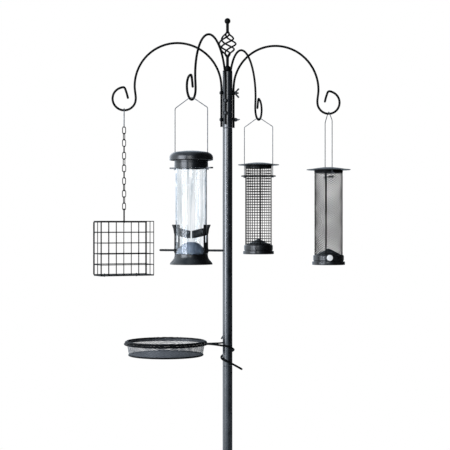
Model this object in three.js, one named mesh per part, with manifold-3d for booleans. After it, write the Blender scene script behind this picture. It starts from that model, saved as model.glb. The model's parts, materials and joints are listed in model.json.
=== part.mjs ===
// Garden bird feeding station: a sectional steel pole on a ground spike, a basket-twist finial, four
// crook arms, a seed feeder, a nut feeder, a mealworm feeder, a fat-cake cage on a chain and a seed tray.
// Millimetres, +Z up. The origin is on the pole's axis, at soil level.
import * as THREE from 'three';
import { mergeVertices } from 'three/addons/utils/BufferGeometryUtils.js';
import Module from 'manifold-3d';

const wasm = await Module();
wasm.setup();

// ---- driving dimensions -------------------------------------------------------------------------

const gap = 0.3; // running clearance between pieces that touch

const pole = { radius: 11, wall: 1.2, sectionLength: 534, sections: ['lower', 'middle', 'upper'],
  spigotLength: 45, sides: 22 };
const spike = { depth: 230, radius: 8, tipRadius: 0.8, plateThickness: 4, plateWidth: 90, plateDepth: 34,
  plugLength: 60 };
const topTube = { length: 127 };
const finial = { capRadius: 8, capHeight: 12, plugLength: 14, stemRadius: 2.9, stemLap: 3, lowerStem: 21,
  basketHeight: 56, basketRadius: 18.8, basketTurns: 0.95, wireRadius: 1.9, wires: 4, upperStem: 19,
  ballRadius: 6.8 };

const arm = { radius: 2.5, shankFoot: 0.5, springHeight: 89, reachHalf: 97.5, rise: 98, dropLength: 28,
  eyeRadius: 26, eyeLap: 2.5, tipInset: 8.5, tipDrop: 24, padRadius: 5, steps: 46, sides: 6 };
// each arm's direction round the pole, in degrees, and how far it is bolted above the lowest one
const arms = {
  left: { azimuth: 188, raise: 2 },
  right: { azimuth: 8, raise: 0 },
  front: { azimuth: 251, raise: 7 },
  rear: { azimuth: 71, raise: 2 },
};
const bolt = { radius: 2, headRadius: 3.5, headHeight: 1.9, tail: 3.5 };
const wingNut = { hubRadius: 4.4, hubHeight: 5, wingSpan: 11, wingHeight: 5, wingThickness: 2 };
// heights of the through bolts above the foot of the top tube, one pair for each pair of arms
const boltPairs = [
  { name: 'side', azimuth: arms.right.azimuth, heights: [19, 79], nutTurn: [90, 0] },
  { name: 'fore', azimuth: arms.rear.azimuth, heights: [33, 61], nutTurn: [0, 0] },
];

// a bail's legs run down outside the tube that it carries, legOffset from the tube's wall
const bail = { radius: 1, legOffset: 3.5, seat: 4, bend: 2, shoulderDrop: 20, knobRadius: 2.3,
  knobHeight: 2.4, legHole: 1.7 };

const seed = { tubeRadius: 32.5, tubeWall: 1.6, tubeLength: 198, earDrop: 143, collarHeight: 17,
  collarWall: 2.2, earLength: 10, earLap: 1, earWidth: 9, earThickness: 3, lidOverhang: 12.8,
  lidHeight: 20, lidWall: 2.2, baseSpread: 12, baseHeight: 22, baseCup: 5, cupWall: 1.8,
  perchLength: 141, perchRadius: 2.25, perchAboveBase: 12, portHeight: 60, portWidth: 24, portWall: 2.4,
  windowWidth: 15, windowHeight: 26, windowAbovePerch: 16, hoodLength: 5, hoodThickness: 3,
  baffleHeight: 30, segments: 28 };

const meshTube = { radius: 32.5, wall: 1.2, length: 204, segments: 26 };
const meshLid = { overhang: 17.5, rise: 6.5, thickness: 1.4, plugClearance: 1.1, plugWall: 2, plugDepth: 7 };
const meshBase = { spread: 4.8, height: 11, cupHeight: 12, cupWall: 2, coneHeight: 14 };
const nut = { earDrop: 138, ringBelowTop: 25, ringWidth: 9.8, ringThickness: 2.4 };
const worm = { earDrop: 145, barBelowTop: 14, barOverhang: 9.5, barWidth: 8, barThickness: 2.4,
  buttonRadius: 5, buttonThickness: 1.6, buttonAzimuth: -98 };

const link = { wire: 0.95, pitch: 14.1, width: 9.4, count: 13 };
const hanger = { wire: 1.0, length: 45, width: 13 };
const cageHook = { wire: 1.5, length: 33.7, width: 11 };
const cage = { width: 124, height: 120, depth: 46, wire: 0.95, frameWire: 1.4, columns: 7, rows: 5,
  turn: 25, doorGap: 3.2, hingeEye: 1.15, hingeAt: 38 };

const tray = { neck: 46.5, height: 1117, ringRadius: 92, wire: 2.3, rimWire: 1.6, depth: 32.5,
  panInset: 3.5, panTaper: 5, panWall: 1.2, coilTop: -5, coilPitch: 34, tail: 31.5, tailFall: 16.5,
  stayWire: 1.8, strandSpread: 0.32, segments: 32 };

// ---- places worked out from the dimensions ------------------------------------------------------

const poleTop = pole.sectionLength * pole.sections.length;
const tubeTop = poleTop + topTube.length;
const shankRadius = pole.radius + arm.radius + gap;
const springLine = poleTop + arm.springHeight;
const eyeReach = shankRadius + 2 * arm.reachHalf - arm.eyeLap + arm.eyeRadius;
const eyeHeight = springLine - arm.dropLength;
const hookTop = (name) => eyeHeight - arm.eyeRadius + arm.radius + gap + arms[name].raise;

// ---- shapes -------------------------------------------------------------------------------------

// A closed mesh with shared vertices and its faces turned outwards.
function closed(geometry) {
  const bare = geometry.index ? geometry.toNonIndexed() : geometry;
  for (const name of Object.keys(bare.attributes)) if (name !== 'position') bare.deleteAttribute(name);
  const merged = mergeVertices(bare, 1e-4);
  const position = merged.attributes.position;
  const order = merged.index.array;
  const kept = [];
  let volume = 0;
  const [a, b, c] = [new THREE.Vector3(), new THREE.Vector3(), new THREE.Vector3()];
  for (let i = 0; i < order.length; i += 3) {
    const [i0, i1, i2] = [order[i], order[i + 1], order[i + 2]];
    if (i0 === i1 || i1 === i2 || i2 === i0) continue;
    a.fromBufferAttribute(position, i0);
    b.fromBufferAttribute(position, i1);
    c.fromBufferAttribute(position, i2);
    volume += a.dot(b.cross(c));
    kept.push(i0, i1, i2);
  }
  if (volume < 0) kept.reverse();
  merged.setIndex(kept);
  return merged;
}

function solid(geometry) {
  const shape = closed(geometry);
  return new wasm.Manifold(new wasm.Mesh({
    numProp: 3,
    vertProperties: new Float32Array(shape.attributes.position.array),
    triVerts: new Uint32Array(shape.index.array),
  }));
}

function fromSolid(body) {
  const { vertProperties, triVerts } = body.getMesh();
  const geometry = new THREE.BufferGeometry();
  geometry.setAttribute('position', new THREE.BufferAttribute(new Float32Array(vertProperties), 3));
  geometry.setIndex(Array.from(triVerts));
  return geometry;
}

// Joins shapes into one body, then cuts others out of it.
function join(shapes, cuts = []) {
  let body = solid(shapes[0]);
  for (const shape of shapes.slice(1)) body = body.add(solid(shape));
  for (const cut of cuts) body = body.subtract(solid(cut));
  return fromSolid(body);
}

const box = (x, y, z, at = [0, 0, 0]) => new THREE.BoxGeometry(x, y, z).translate(...at);

// A cylinder along an axis: 'x', 'y' or 'z', centred on a point.
function cylinder(radius, length, axis = 'z', at = [0, 0, 0], sides = 16) {
  const shape = new THREE.CylinderGeometry(radius, radius, length, sides);
  if (axis === 'x') shape.rotateZ(Math.PI / 2);
  if (axis === 'z') shape.rotateX(Math.PI / 2);
  return shape.translate(...at);
}

// A body of revolution about Z from [radius, height] points.
function turned(profile, segments) {
  const points = profile.map(([r, z]) => new THREE.Vector2(r, z));
  return new THREE.LatheGeometry(points, segments).rotateX(Math.PI / 2);
}

// A ring of rectangular section about Z.
const tube = (outer, inner, low, high, segments) =>
  turned([[inner, low], [outer, low], [outer, high], [inner, high], [inner, low]], segments);

// A round wire along a curve or through points, with flat ends.
function wire(path, radius, steps, sides = 6) {
  const curve = path.getPoint ? path : new THREE.CatmullRomCurve3(path.map((p) => new THREE.Vector3(...p)));
  const section = new THREE.Shape();
  for (let i = 0; i < sides; i += 1) {
    const a = (2 * Math.PI * i) / sides;
    section[i ? 'lineTo' : 'moveTo'](radius * Math.cos(a), radius * Math.sin(a));
  }
  return new THREE.ExtrudeGeometry(section, { steps, extrudePath: curve, bevelEnabled: false });
}

// A round wire with one ring of points at each place on its line, which is flat in the YZ plane.
// A looped wire joins its last ring to its first; an open one has flat ends.
function pipe(line, radius, { looped = false, sides = 6 } = {}) {
  const count = line.length;
  const position = [];
  line.forEach(([y, z], k) => {
    const before = looped || k ? line[(k + count - 1) % count] : line[k];
    const after = looped || k < count - 1 ? line[(k + 1) % count] : line[k];
    const along = Math.atan2(after[1] - before[1], after[0] - before[0]);
    for (let i = 0; i < sides; i += 1) {
      const a = (2 * Math.PI * (i + 0.5)) / sides;
      const out = radius * Math.cos(a);
      position.push(radius * Math.sin(a), y + out * Math.sin(along), z - out * Math.cos(along));
    }
  });
  const index = [];
  for (let k = 0; k < (looped ? count : count - 1); k += 1) {
    for (let i = 0; i < sides; i += 1) {
      const [k2, i2] = [(k + 1) % count, (i + 1) % sides];
      const [p, q, r, s] = [k * sides + i, k * sides + i2, k2 * sides + i2, k2 * sides + i];
      index.push(p, q, r, p, r, s);
    }
  }
  if (!looped) {
    const last = (count - 1) * sides;
    for (let i = 1; i < sides - 1; i += 1) index.push(0, i + 1, i, last, last + i, last + i + 1);
  }
  const geometry = new THREE.BufferGeometry();
  geometry.setAttribute('position', new THREE.Float32BufferAttribute(position, 3));
  geometry.setIndex(index);
  return closed(geometry);
}

// Replaces each inner corner of a line with two points, so that a bend has a short chamfer.
function eased(corners, bend) {
  return corners.flatMap((corner, i) => {
    if (!i || i === corners.length - 1) return [corner];
    return [corners[i - 1], corners[i + 1]].map((other) => {
      const run = Math.hypot(other[0] - corner[0], other[1] - corner[1]);
      return corner.map((v, k) => v + ((other[k] - v) * bend) / run);
    });
  });
}

// A stadium of round wire in the YZ plane, as a chain link is bent, centred on its middle.
function stadium(length, width, radius, steps = 4) {
  const bend = width / 2 - radius;
  const straight = length / 2 - radius - bend;
  const line = [];
  for (const end of [1, -1]) {
    for (let i = 0; i <= steps; i += 1) {
      const a = (Math.PI * i) / steps;
      line.push([end * bend * Math.cos(a), end * (straight + bend * Math.sin(a))]);
    }
  }
  return pipe(line, radius, { looped: true });
}

// ---- materials ----------------------------------------------------------------------------------

const finish = (color, roughness, metalness) =>
  new THREE.MeshStandardMaterial({ color, roughness, metalness });
const coatedSteel = finish(0x14161a, 0.38, 0.2);
const coatedWire = finish(0x0c0d0f, 0.45, 0.2);
const zincWire = finish(0x9a9c98, 0.35, 0.9);
const blackPlastic = finish(0x1b1e21, 0.5, 0);
const smokedPlastic = finish(0x5d6875, 0.12, 0);
const greySteel = finish(0x4a4d52, 0.4, 0.6);
const clearPlastic = new THREE.MeshStandardMaterial({
  color: 0xe8eef0, roughness: 0.08, metalness: 0, transparent: true, opacity: 0.35 });

const station = new THREE.Group();

function place(group, name, geometry, material) {
  const mesh = new THREE.Mesh(closed(geometry), material);
  mesh.name = name;
  group.add(mesh);
  return mesh;
}

function turnedGroup(degrees, at = [0, 0, 0], parent = station) {
  const group = new THREE.Group();
  group.rotation.z = THREE.MathUtils.degToRad(degrees);
  group.position.set(...at);
  parent.add(group);
  return group;
}

// ---- pole ---------------------------------------------------------------------------------------

const spigotRadius = pole.radius - pole.wall - gap;

// One length of pole from foot up to top, with the spigot that the next one slides over.
function poleSection(foot, top) {
  const inner = pole.radius - pole.wall;
  const spigotInner = spigotRadius - pole.wall;
  return turned([[inner, foot], [pole.radius, foot], [pole.radius, top], [spigotRadius, top],
    [spigotRadius, top + pole.spigotLength], [spigotInner, top + pole.spigotLength],
    [spigotInner, top - 2 * pole.wall], [inner, top - 4 * pole.wall], [inner, foot]], pole.sides);
}

function groundSpike() {
  const plate = box(spike.plateWidth, spike.plateDepth, spike.plateThickness,
    [0, 0, spike.plateThickness / 2]);
  const plug = cylinder(spigotRadius, spike.plugLength + 1, 'z',
    [0, 0, spike.plateThickness + (spike.plugLength - 1) / 2], 24);
  const blade = new THREE.CylinderGeometry(spike.radius, spike.tipRadius, spike.depth, 4)
    .rotateX(Math.PI / 2)
    .translate(0, 0, 1 - spike.depth / 2);
  return join([plate, plug, blade]);
}

place(station, 'ground_spike', groundSpike(), coatedSteel);
pole.sections.forEach((name, i) => {
  const foot = i ? i * pole.sectionLength : spike.plateThickness + gap;
  place(station, `pole_${name}`, poleSection(foot, (i + 1) * pole.sectionLength - gap), coatedSteel);
});

const boltHoles = boltPairs.flatMap(({ azimuth, heights }) => heights.map((height) =>
  cylinder(bolt.radius + gap, 4 * pole.radius, 'x', [0, 0, poleTop + height], 8)
    .rotateZ(THREE.MathUtils.degToRad(azimuth))));

place(station, 'top_tube', join([tube(pole.radius, pole.radius - pole.wall, poleTop, tubeTop, pole.sides)],
  boltHoles), coatedSteel);

// the upper pole's spigot is drilled for the lowest bolts that pass through it
const drilled = station.getObjectByName('pole_upper');
drilled.geometry = closed(join([drilled.geometry], boltHoles));

// ---- finial -------------------------------------------------------------------------------------

function basketWire(start, foot) {
  const points = [];
  const steps = 10;
  for (let i = 0; i <= steps; i += 1) {
    const t = i / steps;
    const swell = Math.sin(Math.PI * t) ** 1.15;
    const radius = finial.stemRadius * 0.55 + (finial.basketRadius - finial.stemRadius * 0.55) * swell;
    const a = start + 2 * Math.PI * finial.basketTurns * t;
    points.push([radius * Math.cos(a), radius * Math.sin(a), foot + finial.basketHeight * t]);
  }
  return wire(points, finial.wireRadius, 15, 6);
}

function finialShape() {
  const foot = tubeTop + gap;
  const capTop = foot + finial.capHeight;
  const basketFoot = capTop + finial.lowerStem;
  const basketTop = basketFoot + finial.basketHeight;
  const ballCentre = basketTop + finial.upperStem + finial.ballRadius * 0.8;
  const cap = turned([[0, foot - finial.plugLength], [spigotRadius, foot - finial.plugLength],
    [spigotRadius, foot], [pole.radius, foot], [pole.radius, foot + 1.5], [finial.capRadius, foot + 3],
    [finial.capRadius, capTop - 3], [finial.stemRadius, capTop], [0, capTop]], 20);
  // a stem runs a little way into what it joins at each end
  const stem = (foot, length) =>
    cylinder(finial.stemRadius, length + 2 * finial.stemLap, 'z', [0, 0, foot + length / 2], 10);
  const ball = new THREE.SphereGeometry(finial.ballRadius, 12, 8).translate(0, 0, ballCentre);
  const wires = Array.from({ length: finial.wires }, (_, i) =>
    basketWire((2 * Math.PI * i) / finial.wires, basketFoot));
  const stems = [stem(capTop, finial.lowerStem), stem(basketTop, finial.upperStem)];
  return join([cap, ...stems, ball, ...wires]);
}

place(station, 'finial', finialShape(), coatedWire);

// ---- crook arms and their bolts -----------------------------------------------------------------

// The arm's line, in its own upright plane: a straight shank, a tall arch, a short drop, an eye and a tip.
function armLine(raise) {
  const foot = poleTop + arm.shankFoot;
  const line = [];
  const add = (x, z) => line.push(new THREE.Vector3(x, 0, z + raise));
  for (const part of [0, 0.25, 0.5, 0.75]) add(shankRadius, foot + part * (springLine - foot));
  const arch = 14;
  for (let i = 0; i <= arch; i += 1) {
    const a = (Math.PI * i) / arch;
    add(shankRadius + arm.reachHalf * (1 - Math.cos(a)), springLine + arm.rise * Math.sin(a));
  }
  const eye = 11;
  for (let i = 0; i <= eye; i += 1) {
    const a = Math.PI + (1.5 * Math.PI * i) / eye;
    const radius = arm.eyeRadius * (1 - 0.04 * (i / eye) ** 2);
    add(eyeReach + radius * Math.cos(a), eyeHeight + radius * Math.sin(a));
  }
  add(eyeReach - arm.tipInset * 0.55, eyeHeight + arm.eyeRadius * 0.6);
  add(eyeReach - arm.tipInset, eyeHeight + arm.eyeRadius - arm.tipDrop);
  return new THREE.CatmullRomCurve3(line, false, 'centripetal');
}

for (const [name, { azimuth, raise }] of Object.entries(arms)) {
  // an arm and the one across the pole from it share their bolts
  const { heights } = boltPairs.find((pair) => (azimuth - pair.azimuth) % 180 === 0);
  const seats = heights.map((height) => [shankRadius, 0, poleTop + height]);
  const pads = seats.map((at) => cylinder(arm.padRadius, 2 * arm.radius, 'x', at, 12));
  const holes = seats.map((at) => cylinder(bolt.radius + gap, 6 * arm.radius, 'x', at, 8));
  const rod = wire(armLine(raise), arm.radius, arm.steps, arm.sides);
  place(turnedGroup(azimuth), `hook_arm_${name}`, join([rod, ...pads], holes), coatedWire);
}

const clampFace = shankRadius + arm.radius + gap;

function boltShape() {
  const tail = clampFace + wingNut.hubHeight + gap + bolt.tail;
  const length = clampFace + tail;
  const shank = cylinder(bolt.radius, length + 1, 'x', [(tail - clampFace - 1) / 2, 0, 0], 12);
  const head = turned([[0, 0], [bolt.headRadius, 0], [bolt.headRadius * 0.94, bolt.headHeight * 0.4],
    [bolt.headRadius * 0.6, bolt.headHeight * 0.86], [0, bolt.headHeight]], 14)
    .rotateY(-Math.PI / 2).translate(-clampFace, 0, 0);
  return join([shank, head]);
}

function wingNutShape() {
  const hub = cylinder(wingNut.hubRadius, wingNut.hubHeight, 'x', [wingNut.hubHeight / 2, 0, 0], 12);
  const wings = [1, -1].map((side) => {
    const outline = new THREE.Shape();
    outline.moveTo(0.8, wingNut.hubRadius * 0.4);
    outline.lineTo(wingNut.hubHeight, wingNut.hubRadius * 0.4);
    outline.lineTo(wingNut.hubHeight + wingNut.wingHeight, wingNut.wingSpan - 2);
    outline.quadraticCurveTo(wingNut.hubHeight + wingNut.wingHeight, wingNut.wingSpan,
      wingNut.hubHeight + wingNut.wingHeight - 2, wingNut.wingSpan);
    outline.quadraticCurveTo(wingNut.hubHeight - 1, wingNut.wingSpan - 1, 1.6, wingNut.hubRadius * 0.9);
    const wing = new THREE.ExtrudeGeometry(outline, { depth: wingNut.wingThickness, bevelEnabled: false,
      curveSegments: 4 });
    wing.translate(0, 0, -wingNut.wingThickness / 2);
    return side > 0 ? wing : wing.rotateX(Math.PI);
  });
  const bore = cylinder(bolt.radius + gap, 8 * wingNut.hubHeight, 'x', [0, 0, 0], 12);
  return join([hub, ...wings], [bore]);
}

for (const { name, azimuth, heights, nutTurn } of boltPairs) {
  heights.forEach((height, i) => {
    const group = turnedGroup(azimuth, [0, 0, poleTop + height]);
    place(group, `arm_bolt_${name}_${i + 1}`, boltShape(), greySteel);
    const nutAt = new THREE.Group();
    nutAt.position.x = clampFace + gap;
    nutAt.rotation.x = THREE.MathUtils.degToRad(nutTurn[i] + 90);
    group.add(nutAt);
    place(nutAt, `wing_nut_${name}_${i + 1}`, wingNutShape(), greySteel);
  });
}

// ---- feeders: each hangs from its arm's eye by a wire bail in the YZ plane ----------------------

// A bail whose legs pass through their ears and end in a knob under them. Heights are from the hook.
function bailShape(drop, earThickness, halfWidth) {
  const { radius, seat, shoulderDrop, knobRadius, knobHeight } = bail;
  const top = radius + gap;
  const foot = -drop - earThickness - gap - knobHeight / 2;
  const line = eased([[-halfWidth, foot], [-halfWidth, -shoulderDrop], [-seat, top], [seat, top],
    [halfWidth, -shoulderDrop], [halfWidth, foot]], bail.bend);
  const knobs = [-1, 1].map((side) => cylinder(knobRadius, knobHeight, 'z', [0, side * halfWidth, foot], 10));
  return join([pipe(line, radius), ...knobs]);
}

// The holes that a bail's legs pass through, cut well past both faces of a plate at a height.
const legHoles = (height, halfWidth, cutLength = 60) => [-1, 1].map((side) =>
  cylinder(bail.legHole, cutLength, 'z', [0, side * halfWidth, height], 10));

// A group at the top of an arm's eye, with X outwards from the pole.
function hang(name) {
  const group = new THREE.Group();
  group.position.set(eyeReach, 0, hookTop(name));
  turnedGroup(arms[name].azimuth).add(group);
  return group;
}

// seed feeder, on the front arm

function seedFeeder() {
  const group = hang('front');
  const ear = -seed.earDrop;
  const collarLow = ear - seed.earThickness;
  const collarTop = collarLow + seed.collarHeight;
  const tubeHigh = collarTop - gap;
  const tubeLow = tubeHigh - seed.tubeLength;
  const perchHeight = tubeLow + seed.perchAboveBase;
  const inner = seed.tubeRadius - seed.tubeWall;
  const collarInner = seed.tubeRadius + gap;
  const collarOuter = collarInner + seed.collarWall;
  const legs = seed.tubeRadius + bail.legOffset;
  const n = seed.segments;

  place(group, 'seed_bail', bailShape(seed.earDrop, seed.earThickness, legs), zincWire);

  const ears = [-1, 1].map((side) => box(seed.earWidth, seed.earLength, seed.earThickness,
    [0, side * (collarOuter + seed.earLength / 2 - seed.earLap), ear - seed.earThickness / 2]));
  place(group, 'seed_collar', join([tube(collarOuter, collarInner, collarLow, collarTop, n), ...ears],
    legHoles(ear, legs)), blackPlastic);

  // the lid's dome, as shares of its radius r and height h, over a hollow that is w thick
  const lidFoot = collarTop + gap;
  const r = seed.tubeRadius + seed.lidOverhang;
  const h = seed.lidHeight;
  const w = seed.lidWall;
  const lidInside = [[0, h - w], [r * 0.55, h - w - 0.4], [r * 0.84, h * 0.66 - w], [r - w, h * 0.3],
    [r - w, 0]];
  const lidOutside = [[r, 0], [r, h * 0.34], [r * 0.93, h * 0.62], [r * 0.8, h * 0.86], [r * 0.56, h * 0.97],
    [0, h]];
  const lid = turned([...lidInside, ...lidOutside], n).translate(0, 0, lidFoot);
  place(group, 'seed_lid', join([lid], legHoles(lidFoot, legs)), blackPlastic);

  const perchHole = (radius) => cylinder(radius, 4 * seed.tubeRadius, 'y', [0, 0, perchHeight], 12);
  const windowMid = perchHeight + seed.windowAbovePerch + seed.windowHeight / 2;
  place(group, 'seed_tube', join([tube(seed.tubeRadius, inner, tubeLow, tubeHigh, n)],
    [perchHole(seed.perchRadius + gap),
      box(seed.windowWidth, 4 * seed.tubeRadius, seed.windowHeight, [0, 0, windowMid])]), clearPlastic);

  const portInner = seed.tubeRadius + gap;
  const portOuter = portInner + seed.portWall;
  const portLow = tubeLow + seed.baseCup + gap;
  const portTop = portLow + seed.portHeight;
  for (const [side, label] of [[-1, 'a'], [1, 'b']]) {
    const shell = solid(tube(portOuter, portInner, portLow, portTop, n)).intersect(
      solid(box(seed.portWidth, seed.tubeRadius, seed.portHeight + 2,
        [0, side * seed.tubeRadius, (portLow + portTop) / 2])));
    const hood = box(seed.portWidth * 0.8, seed.hoodLength + 1, seed.hoodThickness,
      [0, side * (portOuter + seed.hoodLength / 2 - 0.5), portTop - seed.hoodThickness / 2]);
    const port = shell.add(solid(hood))
      .subtract(solid(box(seed.windowWidth, 4 * portOuter, seed.windowHeight, [0, 0, windowMid])))
      .subtract(solid(perchHole(seed.perchRadius + gap)));
    place(group, `seed_port_${label}`, fromSolid(port), blackPlastic);
  }

  place(group, 'seed_perch', cylinder(seed.perchRadius, seed.perchLength, 'y', [0, 0, perchHeight], 12),
    blackPlastic);

  const floor = tubeLow - gap;
  const foot = floor - (seed.baseHeight - seed.baseCup);
  const cupInner = seed.tubeRadius + gap;
  const cupOuter = cupInner + seed.cupWall;
  const skirt = seed.tubeRadius + seed.baseSpread;
  place(group, 'seed_base', turned([[0, foot + 4], [skirt - 6, foot + 2], [skirt - 2, foot],
    [skirt, foot], [skirt - 1.5, foot + 4], [skirt * 0.88, foot + 9],
    [cupOuter, floor + 1], [cupOuter, floor + seed.baseCup], [cupInner, floor + seed.baseCup],
    [cupInner, floor], [0, floor]], n), blackPlastic);

  place(group, 'seed_baffle', join([turned([[0, floor + gap], [inner - gap, floor + gap],
    [inner - gap, floor + 3], [3, floor + seed.baffleHeight], [0, floor + seed.baffleHeight]], n)],
  [perchHole(seed.perchRadius + gap)]), smokedPlastic);
}

// The wire-walled feeders share a lid, tube, cone and base; the tube's top is at height top.
function meshFeeder(group, prefix, top, slots = []) {
  const { radius, wall, length, segments } = meshTube;
  const inner = radius - wall;
  const tubeLow = top - length;
  place(group, `${prefix}_mesh`, join([tube(radius, inner, tubeLow, top, segments)], slots), coatedWire);

  // the lid is a shallow dome with a plug that sits in the tube
  const brim = top + gap;
  const { rise, thickness, plugWall, plugDepth } = meshLid;
  const edge = radius + meshLid.overhang;
  const plug = inner - meshLid.plugClearance;
  const lid = turned([[0, rise - thickness - plugWall], [plug - plugWall, 1.6], [plug - plugWall, -plugDepth],
    [plug, -plugDepth], [plug, 0], [edge, 0], [edge, thickness], [edge * 0.72, rise * 0.42],
    [edge * 0.4, rise * 0.84], [0, rise]], segments).translate(0, 0, brim);
  place(group, `${prefix}_lid`, join([lid], legHoles(brim, radius + bail.legOffset)), greySteel);

  const floor = tubeLow - gap;
  const { cupHeight, cupWall, coneHeight, height } = meshBase;
  const cupInner = radius + gap;
  const footRadius = radius + meshBase.spread;
  place(group, `${prefix}_base`, turned([[0, floor - height], [footRadius, floor - height],
    [footRadius, floor - 3.5], [cupInner + cupWall - 1, floor - 2.5], [cupInner + cupWall, floor + 3],
    [cupInner + cupWall, floor + cupHeight - 2], [cupInner + 0.7, floor + cupHeight],
    [cupInner, floor + cupHeight], [cupInner, floor], [0, floor]], segments), blackPlastic);
  place(group, `${prefix}_cone`, turned([[0, floor + gap], [inner - gap, floor + gap],
    [inner - gap, floor + cupHeight - 1], [0, floor + cupHeight + coneHeight]], segments), blackPlastic);
  return { tubeLow, floor };
}

function nutFeeder() {
  const group = hang('rear');
  const ringTop = -nut.earDrop;
  const top = ringTop + nut.ringBelowTop;
  const legs = meshTube.radius + bail.legOffset;
  const ring = tube(meshTube.radius + nut.ringWidth, meshTube.radius + gap, ringTop - nut.ringThickness,
    ringTop, meshTube.segments);
  place(group, 'nut_bail', bailShape(nut.earDrop, nut.ringThickness, legs), zincWire);
  place(group, 'nut_ring', join([ring], legHoles(ringTop, legs)), coatedSteel);
  meshFeeder(group, 'nut', top);
}

function wormFeeder() {
  const group = hang('right');
  const barTop = -worm.earDrop;
  const top = barTop + worm.barBelowTop;
  const barMiddle = barTop - worm.barThickness / 2;
  const legs = meshTube.radius + bail.legOffset;
  const crossBar = box(worm.barWidth, 2 * (meshTube.radius + worm.barOverhang), worm.barThickness,
    [0, 0, barMiddle]);
  place(group, 'worm_bail', bailShape(worm.earDrop, worm.barThickness, legs), zincWire);
  place(group, 'worm_cross_bar', join([crossBar], legHoles(barTop, legs)), coatedSteel);
  const slot = box(worm.barWidth + 2 * gap, 3 * meshTube.radius, worm.barThickness + 2 * gap,
    [0, 0, barMiddle]);
  const { floor } = meshFeeder(group, 'worm', top, [slot]);
  const cupOuter = meshTube.radius + gap + meshBase.cupWall;
  const button = cylinder(worm.buttonRadius, worm.buttonThickness, 'x',
    [cupOuter + gap + worm.buttonThickness / 2, 0, floor + meshBase.cupHeight / 2 - 0.3], 20);
  place(turnedGroup(worm.buttonAzimuth, [0, 0, 0], group), 'worm_button', button, zincWire);
}

seedFeeder();
nutFeeder();
wormFeeder();

// ---- fat-cake cage on its chain, on the left arm ------------------------------------------------

// The outer top of a link that hangs on a wire whose lowest point is foot.
const linkTop = (foot, upperWire, ownWire) => foot + 2 * upperWire + 2 * ownWire + gap;

const bar = (from, to, size) => {
  const middle = from.map((v, i) => (v + to[i]) / 2);
  return box(...from.map((v, i) => Math.abs(to[i] - v) + 2 * size), middle);
};

const spread = (count, span) => Array.from({ length: count + 1 }, (_, i) => span * (i / count - 0.5));

// The frame: front, floor, sides and the edges of the open back. Its top edge is at height 0.
function cageFrame() {
  const { width, height, depth, wire: size, frameWire, columns, rows } = cage;
  const [side, back] = [width / 2, depth / 2];
  const levels = spread(rows, height).map((z) => z - height / 2);
  const shapes = [];
  for (const z of levels) {
    shapes.push(bar([-side, -back, z], [side, -back, z], size));
    for (const x of [-side, side]) shapes.push(bar([x, -back, z], [x, back, z], size));
  }
  for (const x of spread(columns, width)) {
    shapes.push(bar([x, -back, -height], [x, -back, 0], size * 0.94));
    shapes.push(bar([x, -back, -height], [x, back, -height], size * 0.94));
  }
  for (const x of [-side, side]) {
    for (const y of [0, back]) shapes.push(bar([x, y, -height], [x, y, 0], size * 0.9));
  }
  for (const y of [-back, 0, back]) shapes.push(bar([-side, y, 0], [side, y, 0], size * 1.06));
  shapes.push(cylinder(frameWire, width, 'x', [0, back, -height], 10));
  return join(shapes);
}

// The door closes the back. It turns on two eyes round the frame's lower back wire.
function cageDoor() {
  const { width, height, depth, wire: size, frameWire, columns, rows, doorGap, hingeEye, hingeAt } = cage;
  const back = depth / 2 + doorGap;
  const shapes = [];
  for (const z of spread(rows, height - 2 * frameWire)) {
    const level = z - height / 2;
    shapes.push(bar([-width / 2, back, level], [width / 2, back, level], size));
  }
  for (const x of spread(columns, width)) {
    shapes.push(bar([x, back, frameWire - height], [x, back, -frameWire], size * 0.94));
  }
  for (const side of [-1, 1]) {
    const eye = new THREE.TorusGeometry(frameWire + gap + hingeEye, hingeEye, 6, 10).rotateY(Math.PI / 2);
    shapes.push(eye.translate(side * hingeAt, depth / 2, -height));
  }
  return join(shapes);
}

function chainAndCage() {
  const group = hang('left');
  let foot = 2 * (hanger.wire + gap) - hanger.length;
  let upperWire = hanger.wire;
  place(group, 'cage_hanger', stadium(hanger.length, hanger.width, hanger.wire, 6)
    .translate(0, 0, foot + hanger.length / 2), zincWire);

  const linkLength = link.pitch + 4 * link.wire + gap;
  for (let i = 1; i <= link.count; i += 1) {
    foot = linkTop(foot, upperWire, link.wire) - linkLength;
    upperWire = link.wire;
    place(turnedGroup(i % 2 ? 90 : 0, [0, 0, 0], group), `chain_link_${String(i).padStart(2, '0')}`,
      stadium(linkLength, link.width, link.wire).translate(0, 0, foot + linkLength / 2), coatedWire);
  }

  foot = linkTop(foot, upperWire, cageHook.wire) - cageHook.length;
  place(group, 'cage_hook', stadium(cageHook.length, cageHook.width, cageHook.wire)
    .translate(0, 0, foot + cageHook.length / 2), coatedWire);

  const topWire = foot + 2 * cageHook.wire + 2 * gap + cage.wire;
  const cageGroup = turnedGroup(cage.turn - arms.left.azimuth, [0, 0, topWire], group);
  place(cageGroup, 'cage_frame', cageFrame(), coatedWire);
  place(cageGroup, 'cage_door', cageDoor(), coatedWire);
}

chainAndCage();

// ---- seed tray ----------------------------------------------------------------------------------

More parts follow.
